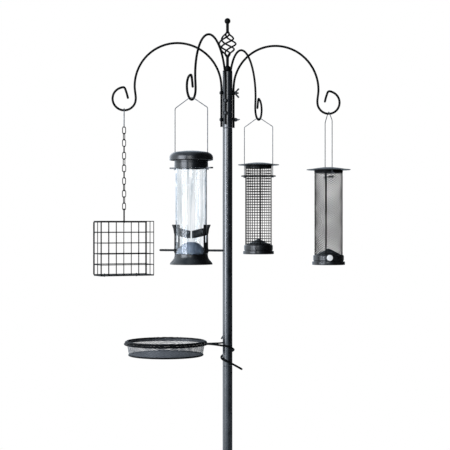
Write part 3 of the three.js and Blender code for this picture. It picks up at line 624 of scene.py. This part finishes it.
def makeBolts():
    base = heights("top_tube")[0]
    for name, pair in boltPairs.items():
        for i, (height, label) in enumerate(zip(pair["heights"], ("low", "high"))):
            at = turnedFrame(pair["azimuth"], (0, 0, base + height)) @ alongX
            makeBolt(f"arm_bolt_{name}_{i + 1}", at)
            turn = Matrix.Rotation(math.radians(pair["turns"][i]), 4, "Z")
            nutAt = at @ Matrix.Translation((0, 0, boltShape["face"] + looseFit)) @ turn
            makeWingNut(f"wing_nut_{name}_{i + 1}", f"wing_nut_{name}_{label}", nutAt)


makeBolts()
print("bolts and wing nuts made")


# wire bails

bailShape = {"radius": 0.95, "halfWidth": 36, "seat": 4, "shoulderDrop": 21.3, "bend": 3,
             "footRadius": 2.3, "footHalf": 1.2, "rivetRadius": 1.9}


def makeBail(prefix):
    joint, body = f"{prefix}_feeder_swing", f"{prefix}_feeder"
    low, high = heights(f"{prefix}_bail")
    lift, half, seat = bailShape["footHalf"], bailShape["halfWidth"], bailShape["seat"]
    top, foot = high - bailShape["radius"], low + lift
    shoulder = top - bailShape["shoulderDrop"]
    corners = [(0, -half, foot), (0, -half, shoulder), (0, -seat, top), (0, seat, top), (0, half, shoulder),
               (0, half, foot)]
    mesh = bmesh.new()
    sweepWire(mesh, rounded(corners, bailShape["bend"], 5), bailShape["radius"], 10)
    for side in (-1, 1):
        y = side * half
        addRod(mesh, (0, y, foot - lift), (0, y, foot + lift), bailShape["footRadius"], 16)
        addBall(mesh, (0, y, foot + lift), bailShape["rivetRadius"])
    finishPiece(mesh, f"{prefix}_bail_wire", body, "zinc_wire", [f"{prefix}_bail"], hookFrame(joint))


for feeder in ("seed", "nut", "worm"):
    makeBail(feeder)
print("bails made")


# seed feeder

seedShape = {"tubeRadius": 32.5, "tubeWall": 1.6, "collarWall": 2.2, "lugSize": 9, "lugThickness": 3,
             "lidRadius": 45.3, "lidWall": 2.2, "baseRadius": 44.5, "cupWall": 1.8, "perchRadius": 2.25,
             "perchLength": 141, "gripRings": 5, "gripPitch": 3.4, "portWall": 2.4, "portWidth": 24,
             "window": 15, "windowFoot": 16, "windowTop": 42, "channelWall": 1.4, "channelDepth": 15,
             "channelRise": 6, "channelFall": 7, "bossRadius": 4.2}


def cutWindows(mesh, perchAt):  # the openings above the perch
    low, high = perchAt + seedShape["windowFoot"], perchAt + seedShape["windowTop"]
    middles = [(face, face.calc_center_median()) for face in mesh.faces]
    holes = [face for face, at in middles if abs(at.x) < seedShape["window"] / 2 and low < at.z < high]
    bmesh.ops.delete(mesh, geom=holes, context="FACES")


def makeSeedTube(at, perchAt):
    tube, (low, high) = seedShape["tubeRadius"], heights("seed_tube")
    levels = (low, perchAt + seedShape["windowFoot"], perchAt + seedShape["windowTop"], high)
    mesh = bmesh.new()
    line = [mesh.verts.new((tube, 0, z)) for z in levels]
    edges = [mesh.edges.new(pair) for pair in zip(line, line[1:])]
    bmesh.ops.spin(mesh, geom=line + edges, cent=(0, 0, 0), axis=(0, 0, 1), angle=fullTurn, steps=96,
                   use_merge=True)
    cutWindows(mesh, perchAt)
    bmesh.ops.remove_doubles(mesh, verts=mesh.verts, dist=0.0005)
    bmesh.ops.recalc_face_normals(mesh, faces=mesh.faces)
    thicken(mesh, -seedShape["tubeWall"])
    finishPiece(mesh, "seed_tube_clear", "seed_feeder", "clear_tube", ["seed_tube"], at)


def makeSeedCollar(at):
    low, top = heights("seed_collar")
    inner = seedShape["tubeRadius"] + looseFit
    outer = inner + seedShape["collarWall"]
    lug, thick = seedShape["lugSize"], seedShape["lugThickness"]
    mesh = spun([(inner, low), (outer - 0.5, low), (outer, low + 0.5), (outer, top - 5),
                 (outer - 0.7, top - 4.4), (outer - 0.7, top - 3.2), (outer, top - 2.6),
                 (outer, top - 0.4), (outer - 0.4, top), (inner, top)], 96)
    for side in (-1, 1):  # the lugs that the bail is hooked through
        addBlock(mesh, (lug, lug, thick), (0, side * (outer + 4), low + thick / 2))
        end = side * (outer + 8.5)
        addRod(mesh, (0, end, low), (0, end, low + thick), lug / 2, 24)
    finishPiece(mesh, "seed_collar_ring", "seed_feeder", "black_plastic", ["seed_collar"], at)


def makeSeedLid(at):
    foot, top = heights("seed_lid")
    r, h, wall = seedShape["lidRadius"], top - foot, seedShape["lidWall"]
    eave = foot + h * 0.3
    dome = [(a, eave + (b - eave) * 0.68) for a, b in arc(r * 0.62, eave, r * 0.38, 0, 80, 9)]
    crown = dome[-1][1]
    mesh = spun([(0, top - wall), (r * 0.55, crown - wall), (r * 0.84, foot + h * 0.6 - wall),
                 (r - wall, eave), (r - wall, foot), (r - 0.6, foot), (r, foot + 0.6), *dome,
                 (r * 0.62, crown + 0.2), (r * 0.35, crown + (top - crown) * 0.75), (0, top)], 96)
    finishPiece(mesh, "seed_lid_dome", "seed_feeder_lid", "black_plastic", ["seed_lid"], at)


def makeSeedPerch(at, perchAt):
    half, radius = seedShape["perchLength"] / 2, seedShape["perchRadius"]
    mesh = bmesh.new()
    addRod(mesh, (0, 1 - half, perchAt), (0, half - 1, perchAt), radius, 20)
    for side in (-1, 1):
        addBall(mesh, (0, side * (half - 1.6), perchAt), radius * 0.99, 8)
        for k in range(seedShape["gripRings"]):  # for claws to hold
            y = side * (half - 6 - seedShape["gripPitch"] * k)
            addRod(mesh, (0, y - 0.5, perchAt), (0, y + 0.5, perchAt), radius * 1.07, 20)
    finishPiece(mesh, "seed_perch_rod", "seed_feeder", "black_plastic", ["seed_perch"], at, finish=matteNylon)


def makeSeedBase(at):
    low, top = heights("seed_base")
    floor = heights("seed_tube")[0] - looseFit
    big, inner = seedShape["baseRadius"], seedShape["tubeRadius"] + looseFit
    outer = inner + seedShape["cupWall"]
    mesh = spun([(0, low + 4), (big - 6, low + 2), (big - 2, low), (big - 0.6, low), (big, low + 0.8),
                 (big - 0.9, low + 3.2), (big * 0.93, low + 6), (big * 0.86, low + 9.5),
                 (big * 0.81, low + 12.5), (outer + 0.2, floor), (outer, floor + 1.4),
                 (outer, top - 0.4), (outer - 0.4, top), (inner, top), (inner, floor), (0, floor)], 96)
    finishPiece(mesh, "seed_base_flare", "seed_feeder", "black_plastic", ["seed_base"], at)


def makeSeedBaffle(at):  # the cone that sends the seed outwards to the ports
    low, top = heights("seed_baffle")
    edge = seedShape["tubeRadius"] - seedShape["tubeWall"] - looseFit
    mesh = spun([(0, low), (edge, low), (edge, low + 8), (edge * 0.86, low + 17),
                 (edge * 0.5, top - 3), (edge * 0.3, top - 0.8), (0, top)], 72)
    finishPiece(mesh, "seed_baffle_cone", "seed_feeder", "smoked_plastic", ["seed_baffle"], at)


def makePort(node, side, at, perchAt):
    low, high = heights(node)
    inner = seedShape["tubeRadius"] + looseFit
    outer = inner + seedShape["portWall"]
    width, window = seedShape["portWidth"], seedShape["window"]
    mesh = bmesh.new()
    reach = 2 * math.asin(width / 2 / outer)
    sheet = bmesh.ops.create_grid(mesh, x_segments=12, y_segments=18, size=0.5)["verts"]
    for vert in sheet:  # the flat grid is wrapped round the tube
        angle = reach * vert.co.x
        z = low + (vert.co.y + 0.5) * (high - low)
        vert.co = (inner * math.sin(angle), side * inner * math.cos(angle), z)
    cutWindows(mesh, perchAt)
    bmesh.ops.recalc_face_normals(mesh, faces=mesh.faces)
    thicken(mesh, seedShape["portWall"])
    # a horned hood over the window, pointing outwards
    hood = [(outer - 0.6, high - 19), (outer + 0.5, high - 19), (outer + 2, high - 9),
            (outer + 5.4, high - 0.6), (outer + 4.4, high), (outer - 0.6, high)]
    addPlate(mesh, [(-width * 0.3, side * y, z) for y, z in hood], (width * 0.6, 0, 0))
    # a channel runs in from the window, so that seed falls past it and a beak can reach under it
    wall, length, deep = seedShape["channelWall"], inner - 4, seedShape["channelDepth"]
    roof = perchAt + seedShape["windowTop"] - wall + seedShape["channelRise"]
    middle = side * (inner - length / 2)
    channel = bmesh.new()
    addBlock(channel, (window - 1, length, wall), (0, middle, roof))
    for edge in (-1, 1):
        x = edge * (window - 1 - wall) / 2
        addBlock(channel, (wall, length, deep), (x, middle, roof - deep / 2))
    innerEnd = [v for v in channel.verts if abs(v.co.y) < inner / 2]
    bmesh.ops.translate(channel, verts=innerEnd, vec=(0, 0, -seedShape["channelFall"]))
    addCopy(mesh, channel)
    addRod(mesh, (0, side * (inner + 0.2), perchAt), (0, side * (outer + 2.2), perchAt),
           seedShape["bossRadius"], 24)
    finishPiece(mesh, f"{node}_frame", "seed_feeder", "black_plastic", [node], at, bevel=0.5,
                finish=matteNylon)


def makeSeedFeeder():
    at = hookFrame("seed_feeder_swing")
    perchLow, perchHigh = heights("seed_perch")
    perchAt = (perchLow + perchHigh) / 2
    makeSeedTube(at, perchAt)
    makeSeedCollar(at)
    makeSeedLid(at)
    makeSeedPerch(at, perchAt)
    makePort("seed_port_a", -1, at, perchAt)
    makePort("seed_port_b", 1, at, perchAt)
    makeSeedBase(at)
    makeSeedBaffle(at)


makeSeedFeeder()
print("seed feeder made")


# nut and mealworm feeders

wireShape = {"radius": 32.5, "wall": 1.2, "hem": 5, "seam": 3.4}
lidShape = {"radius": 50, "rise": 6.5, "thickness": 1.4, "plugRadius": 30.2, "plugDepth": 7}
baseShape = {"radius": 37.3, "height": 11, "cupWall": 2}
nutMesh = {"pitch": 6.3, "wire": 0.78, "upright": 0.58}
wormMesh = {"strands": 24, "pitch": 125, "wire": 0.5, "phase": -0.5, "steps": 26}


def weldedMesh(low, high):  # rings and uprights of welded wire
    mesh = bmesh.new()
    wire, radius = nutMesh["wire"], wireShape["radius"]
    addRing(mesh, radius - 3 * wire, low + wire, wire, 48, 6)
    rings = int((high - low - 2 * wire) / nutMesh["pitch"])
    copiesUp(mesh, allOf(mesh), rings + 1, (high - low - 2 * wire) / rings)
    upright = bmesh.new()
    addRod(upright, (radius - wire, 0, low), (radius - wire, 0, high), nutMesh["upright"], 6)
    copiesAround(upright, allOf(upright), round(fullTurn * radius / nutMesh["pitch"]))
    addCopy(mesh, upright)
    return mesh


def diamondMesh(low, high):  # two sets of slanting strands, as expanded metal has
    mesh = bmesh.new()
    radius, wire, steps = wireShape["radius"] - 0.6, wormMesh["wire"], wormMesh["steps"]
    height = high - low
    for hand in (-1, 1):
        strand = bmesh.new()
        points = []
        for i in range(steps + 1):
            angle = math.radians(wormMesh["phase"]) + hand * fullTurn * height / wormMesh["pitch"] * i / steps
            points.append((radius * math.cos(angle), radius * math.sin(angle), low + height * i / steps))
        sweepWire(strand, points, wire, 4)
        copiesAround(strand, allOf(strand), wormMesh["strands"])
        addCopy(mesh, strand)
    return mesh


def makeMeshFeeder(prefix, seamAngle):
    body = f"{prefix}_feeder"
    at = hookFrame(f"{body}_swing")
    low, high = heights(f"{prefix}_mesh")
    radius, wall, deep = wireShape["radius"], wireShape["wall"], wireShape["hem"]
    mesh = weldedMesh(low, high) if prefix == "nut" else diamondMesh(low, high)
    # the rolled hems at both ends and the lapped seam
    for foot in (low, high - deep):
        hem = spun([(radius - wall, foot), (radius, foot), (radius, foot + deep),
                    (radius - wall, foot + deep)], 72)
        addCopy(mesh, hem)
    seam = bmesh.new()
    addBlock(seam, (wall, wireShape["seam"], high - low - 2), (radius - 0.7, 0, (low + high) / 2))
    bmesh.ops.transform(seam, matrix=turnedFrame(seamAngle), verts=seam.verts)
    addCopy(mesh, seam)
    finishPiece(mesh, f"{prefix}_mesh_wall", body, "coated_wire", [f"{prefix}_mesh"], at)

    lidFoot = heights(f"{prefix}_lid")[0]
    brim = lidFoot + lidShape["plugDepth"]
    plug, rise, thick = lidShape["plugRadius"], lidShape["rise"], lidShape["thickness"]
    lid = lidShape["radius"]
    mesh = spun([(0, brim + rise - thick - 2), (plug - 2, brim + 1.6), (plug - 2, lidFoot),
                 (plug, lidFoot), (plug, brim), (lid - 0.6, brim),
                 *arc(lid - 0.6, brim + thick / 2, thick / 2, -90, 90, 5),
                 (lid * 0.9, brim + rise * 0.26), (lid * 0.72, brim + rise * 0.45),
                 (lid * 0.5, brim + rise * 0.72), (lid * 0.28, brim + rise * 0.92),
                 (0, brim + rise)], 96)
    finishPiece(mesh, f"{prefix}_lid_disc", f"{prefix}_feeder_lid", "grey_steel", [f"{prefix}_lid"], at)

    baseLow, cupTop = heights(f"{prefix}_base")
    floor = baseLow + baseShape["height"]
    inner = radius + looseFit
    outer = inner + baseShape["cupWall"]
    big = baseShape["radius"]
    mesh = spun([(0, baseLow), (big - 1, baseLow), *arc(big - 1, baseLow + 1, 1, -90, 0, 4),
                 *arc(big - 1, floor - 4.5, 1, 0, 90, 4), (outer - 1, floor - 3.2),
                 (outer - 1, floor - 1.6), (outer, floor - 0.4), (outer, floor + 6),
                 *arc(outer - 2, cupTop - 3, 2, 0, 80, 5),
                 (inner, cupTop), (inner, floor), (0, floor)], 96)
    finishPiece(mesh, f"{prefix}_base_cup", body, "black_plastic", [f"{prefix}_base"], at)

    coneLow, coneTop = heights(f"{prefix}_cone")
    edge = radius - 1.5
    mesh = spun([(0, coneLow), (edge, coneLow), (edge, coneLow + 10.5), (edge - 1, coneLow + 11.3),
                 (5, coneTop - 1.6), (2.4, coneTop - 0.4), (0, coneTop)], 72)
    finishPiece(mesh, f"{prefix}_cone_floor", body, "black_plastic", [f"{prefix}_cone"], at)


makeMeshFeeder("nut", 205)
makeMeshFeeder("worm", 247)

flangeShape = {"reach": 9.2, "edge": 0.6}
crossBar = {"width": 8, "reach": 42}
buttonShape = {"radius": 6.8, "thickness": 1.5, "azimuth": -98, "aboveFloor": 5.7}


def makeNutRing():
    low, high = heights("nut_ring")
    inner, outer = wireShape["radius"] + looseFit, wireShape["radius"] + flangeShape["reach"]
    middle, half, edge = (low + high) / 2, (high - low) / 2, flangeShape["edge"]
    rounding = [(outer + edge * math.cos(a), middle + half * math.sin(a)) for a in (-0.8, 0, 0.8)]
    mesh = spun([(inner, low), (outer, low), *rounding, (outer, high), (inner, high)], 96)
    finishPiece(mesh, "nut_ring_flange", "nut_feeder", "coated_tube", ["nut_ring"],
                hookFrame("nut_feeder_swing"), finish=coatedWire)


def makeCrossBar():
    low, high = heights("worm_cross_bar")
    half, reach = crossBar["width"] / 2, crossBar["reach"] - crossBar["width"] / 2
    outline = [*arc(0, reach, half, 0, 180, 12), *arc(0, -reach, half, 180, 360, 12)]
    mesh = bmesh.new()
    addPlate(mesh, [(x, y, low) for x, y in outline], (0, 0, high - low))
    finishPiece(mesh, "worm_cross_bar_strip", "worm_feeder", "coated_tube", ["worm_cross_bar"],
                hookFrame("worm_feeder_swing"), bevel=0.4, finish=coatedWire)


def makeButton():  # a domed rivet cap on the cup's front
    radius, thick = buttonShape["radius"], buttonShape["thickness"]
    height = heights("worm_base")[0] + baseShape["height"] + buttonShape["aboveFloor"]
    reach = wireShape["radius"] + looseFit + baseShape["cupWall"] + looseFit
    mesh = spun([(0, 0), (radius, 0), (radius, thick * 0.4), (radius * 0.9, thick * 0.7),
                 (radius * 0.62, thick * 0.94), (0, thick)], 32)
    at = hookFrame("worm_feeder_swing") @ turnedFrame(buttonShape["azimuth"])
    out = Matrix.Translation((reach, 0, height)) @ alongX
    # the cap's pale colour is a painted reflection of the zinc's shine
    finishPiece(mesh, "worm_button_cap", "worm_feeder", "zinc_wire", ["worm_button"], at @ out,
                finish=buttonPaintedReflection)


makeNutRing()
makeCrossBar()
makeButton()
print("mesh feeders made")


# the chain and the fat-cake cage

chainShape = {"links": 13, "upperLinks": 5, "lean": 28, "wire": 0.95, "width": 9.4, "hangerWire": 1.0,
              "hangerWidth": 13, "hookWire": 1.5, "hookWidth": 11}


def addStadium(mesh, low, high, width, wire):  # an upright loop with round ends
    bend = width / 2 - wire
    top, foot = high - wire - bend, low + wire + bend
    line = [(0, y, z) for y, z in arc(0, top, bend, 0, 180, 9)]
    line += [(0, -bend, top + (foot - top) * k / 3) for k in (1, 2)]
    line += [(0, y, z) for y, z in arc(0, foot, bend, 180, 360, 9)]
    line += [(0, bend, foot + (top - foot) * k / 3) for k in (1, 2)]
    sweepWire(mesh, line, wire, 10, looped=True)


def makeChain():
    at = hookFrame("cage_hanger_swing")
    mesh = bmesh.new()
    addStadium(mesh, *heights("cage_hanger"), chainShape["hangerWidth"], chainShape["hangerWire"])
    finishPiece(mesh, "cage_hanger_loop", "cage_hanger", "zinc_wire", ["cage_hanger"], at)
    for i in range(1, chainShape["links"] + 1):
        node = f"chain_link_{i:02d}"
        mesh = bmesh.new()
        addStadium(mesh, *heights(node), chainShape["width"], chainShape["wire"])
        body = "chain_upper" if i <= chainShape["upperLinks"] else "chain_lower"
        # every other link is a quarter turn round, and none hangs quite square
        turn = turnedFrame(chainShape["lean"] * math.sin(2.3 * i) + 90 * (i % 2))
        finishPiece(mesh, f"{node}_wire", body, "coated_wire", [node], at @ turn)
    mesh = bmesh.new()
    addStadium(mesh, *heights("cage_hook"), chainShape["hookWidth"], chainShape["hookWire"])
    finishPiece(mesh, "cage_hook_loop", "cake_cage", "coated_wire", ["cage_hook"], at)


cageShape = {"width": 124, "height": 120, "depth": 46, "wire": 0.95, "frameWire": 1.4, "columns": 7,
             "rows": 5, "turn": 25, "doorGap": 3.2, "hingeAt": 38, "hingeEye": 1.15}


def makeCage():
    hook = hookFrame("cage_hanger_swing").to_translation()
    top = heights("cage_frame")[1] - 1
    at = turnedFrame(cageShape["turn"], (hook.x, hook.y, top))
    width, height, depth = cageShape["width"], cageShape["height"], cageShape["depth"]
    thin, thick = cageShape["wire"], cageShape["frameWire"]
    side, back = width / 2, depth / 2
    columns = [width * (i / cageShape["columns"] - 0.5) for i in range(cageShape["columns"] + 1)]
    levels = [-height * i / cageShape["rows"] for i in range(cageShape["rows"] + 1)]

    mesh = bmesh.new()
    for z in levels:
        bend = rounded([(-side, back, z), (-side, -back, z), (side, -back, z), (side, back, z)], 2, 3)
        sweepWire(mesh, bend, thin, 8)
    for x in columns:  # each upright turns under to make the floor
        sweepWire(mesh, rounded([(x, -back + thin, 0), (x, -back + thin, -height + thin),
                                 (x, back, -height + thin)], 2, 3), thin, 8)
    for x in (-side, side):
        for y in (0, back - thin):
            addRod(mesh, (x, y, -height), (x, y, 0), thin, 8)
    for y in (0, back):
        addRod(mesh, (-side, y, 0), (side, y, 0), thin * 1.05, 10)
    addRod(mesh, (-side, back, -height), (side, back, -height), thick, 12)
    finishPiece(mesh, "cage_frame_wires", "cake_cage", "coated_wire", ["cage_frame"], at)

    mesh = bmesh.new()
    y = back + cageShape["doorGap"]
    high, low = -thick, thick - height
    rim = [(0, y, high), (side, y, high), (side, y, low), (-side, y, low), (-side, y, high), (0, y, high)]
    sweepWire(mesh, rounded(rim, 2, 3)[:-1], thick * 0.95, 10, looped=True)
    for i in range(1, cageShape["rows"]):
        z = low + (high - low) * i / cageShape["rows"]
        addRod(mesh, (-side, y, z), (side, y, z), thin, 8)
    for x in columns[1:-1]:
        addRod(mesh, (x, y - thin, low), (x, y - thin, high), thin, 8)
    for x in (-cageShape["hingeAt"], cageShape["hingeAt"]):
        eye = thick + 0.3 + cageShape["hingeEye"]
        loop = [(x, back + a, -height + b) for a, b in arc(0, 0, eye, 0, 360, 20)[:-1]]
        sweepWire(mesh, loop, cageShape["hingeEye"] * 0.95, 8, looped=True)
    finishPiece(mesh, "cage_door_wires", "cake_cage_door", "coated_wire", ["cage_door"], at)


makeChain()
makeCage()
print("chain and cage made")


# seed tray

trayShape = {"reach": 138.5, "level": 1117, "ringRadius": 92, "wire": 2.3, "rimWire": 1.6, "rimRadius": 90.7,
             "topRadius": 88.2, "floorRadius": 82.6, "footWire": 1.9, "lipWire": 1.5, "meshPitch": 3.2,
             "meshWire": 1.25, "coilTop": -5, "coilPitch": 34, "coilGap": 0.6, "tail": 31.5,
             "tailFall": 16.5, "stayWire": 1.8, "stayGap": 0.9}


def makeTrayBracket():
    edge = trayShape["ringRadius"] - trayShape["reach"]
    wire, stayWire = trayShape["wire"], trayShape["stayWire"]
    around = poleShape["radius"] + wire + trayShape["coilGap"]
    side = 0.32 * around
    mesh = bmesh.new()
    addRing(mesh, trayShape["ringRadius"], 0, wire, 120, 12, -trayShape["reach"])
    top, pitch = trayShape["coilTop"], trayShape["coilPitch"]
    tail, fall = trayShape["tail"], trayShape["tailFall"]
    coil = [(edge - 0.4, -side, 0), (edge * 0.72, -around * 0.72, -0.4), (edge * 0.4, -around * 0.98, -2)]
    for i in range(13):
        angle = fullTurn * (0.75 + i / 12)
        coil.append((around * math.cos(angle), around * math.sin(angle), top - pitch * i / 12))
    coil += [(tail * 0.4, -around, top - pitch - fall * 0.36), (tail, -around, top - pitch - fall)]
    line = smoothLine(coil, 6)
    sweepWire(mesh, line, wire, 14)
    addBall(mesh, line[-1], wire * 1.02)
    behind = poleShape["radius"] + stayWire + trayShape["stayGap"]
    stay = [(edge - 0.4, side, 0), (edge * 0.66, behind * 0.7, 0), (edge * 0.3, behind, 0.5),
            (0, behind * 1.04, 4), (behind * 0.3, behind * 1.04, 11), (0, behind * 1.12, 18),
            (-behind * 0.6, behind * 1.04, 17.5), (-behind, behind * 0.8, 10)]
    sweepWire(mesh, smoothLine(stay, 6), stayWire, 12)
    finishPiece(mesh, "tray_bracket_wire", "tray_bracket", "coated_wire", ["tray_bracket"],
                Matrix.Translation((0, 0, trayShape["level"])))


def makeTrayDish():
    at = Matrix.Translation((-trayShape["reach"], 0, 0))
    rimLow, rimHigh = heights("tray_rim")
    mesh = bmesh.new()
    addRing(mesh, trayShape["rimRadius"], (rimLow + rimHigh) / 2, trayShape["rimWire"], 120, 12)
    finishPiece(mesh, "tray_rim_wire", "tray_dish", "coated_wire", ["tray_rim"], at)

    floor, top = heights("tray_pan")
    wall = top - floor - 0.8
    radius, flare = trayShape["floorRadius"], trayShape["topRadius"] - trayShape["floorRadius"]
    pitch = trayShape["meshPitch"]
    cells = math.ceil((radius + wall) / pitch) + 1
    mesh = bmesh.new()
    bmesh.ops.create_grid(mesh, x_segments=2 * cells, y_segments=2 * cells, size=cells * pitch)
    outside = [v for v in mesh.verts if math.hypot(v.co.x, v.co.y) > radius + wall + 1]
    bmesh.ops.delete(mesh, geom=outside, context="VERTS")
    for vert in mesh.verts:  # woven wire pressed into a dish: past the floor it turns up the wall
        reach = math.hypot(vert.co.x, vert.co.y)
        past = max(0.0, min(1.0, (reach - radius) / wall))
        scale = (radius + flare * past) / reach if reach > radius else 1
        vert.co = (vert.co.x * scale, vert.co.y * scale, floor + 0.6 + wall * past)
    bmesh.ops.wireframe(mesh, faces=mesh.faces[:], thickness=trayShape["meshWire"], use_replace=True,
                        use_boundary=True, use_even_offset=False)
    finishPiece(mesh, "tray_mesh_dish", "tray_dish", "coated_wire", ["tray_pan"], at, finish=coatedMesh)

    mesh = bmesh.new()  # a hoop under the floor's edge, and one inside the lip
    foot, lip = trayShape["footWire"], trayShape["lipWire"]
    addRing(mesh, radius + looseFit, floor + foot, foot, 90, 8)
    addRing(mesh, trayShape["topRadius"] - 0.6, top - lip, lip, 90, 8)
    finishPiece(mesh, "tray_pan_wires", "tray_dish", "coated_wire", ["tray_pan"], at)


makeTrayBracket()
makeTrayDish()
print("tray made")


print("pieces finished")
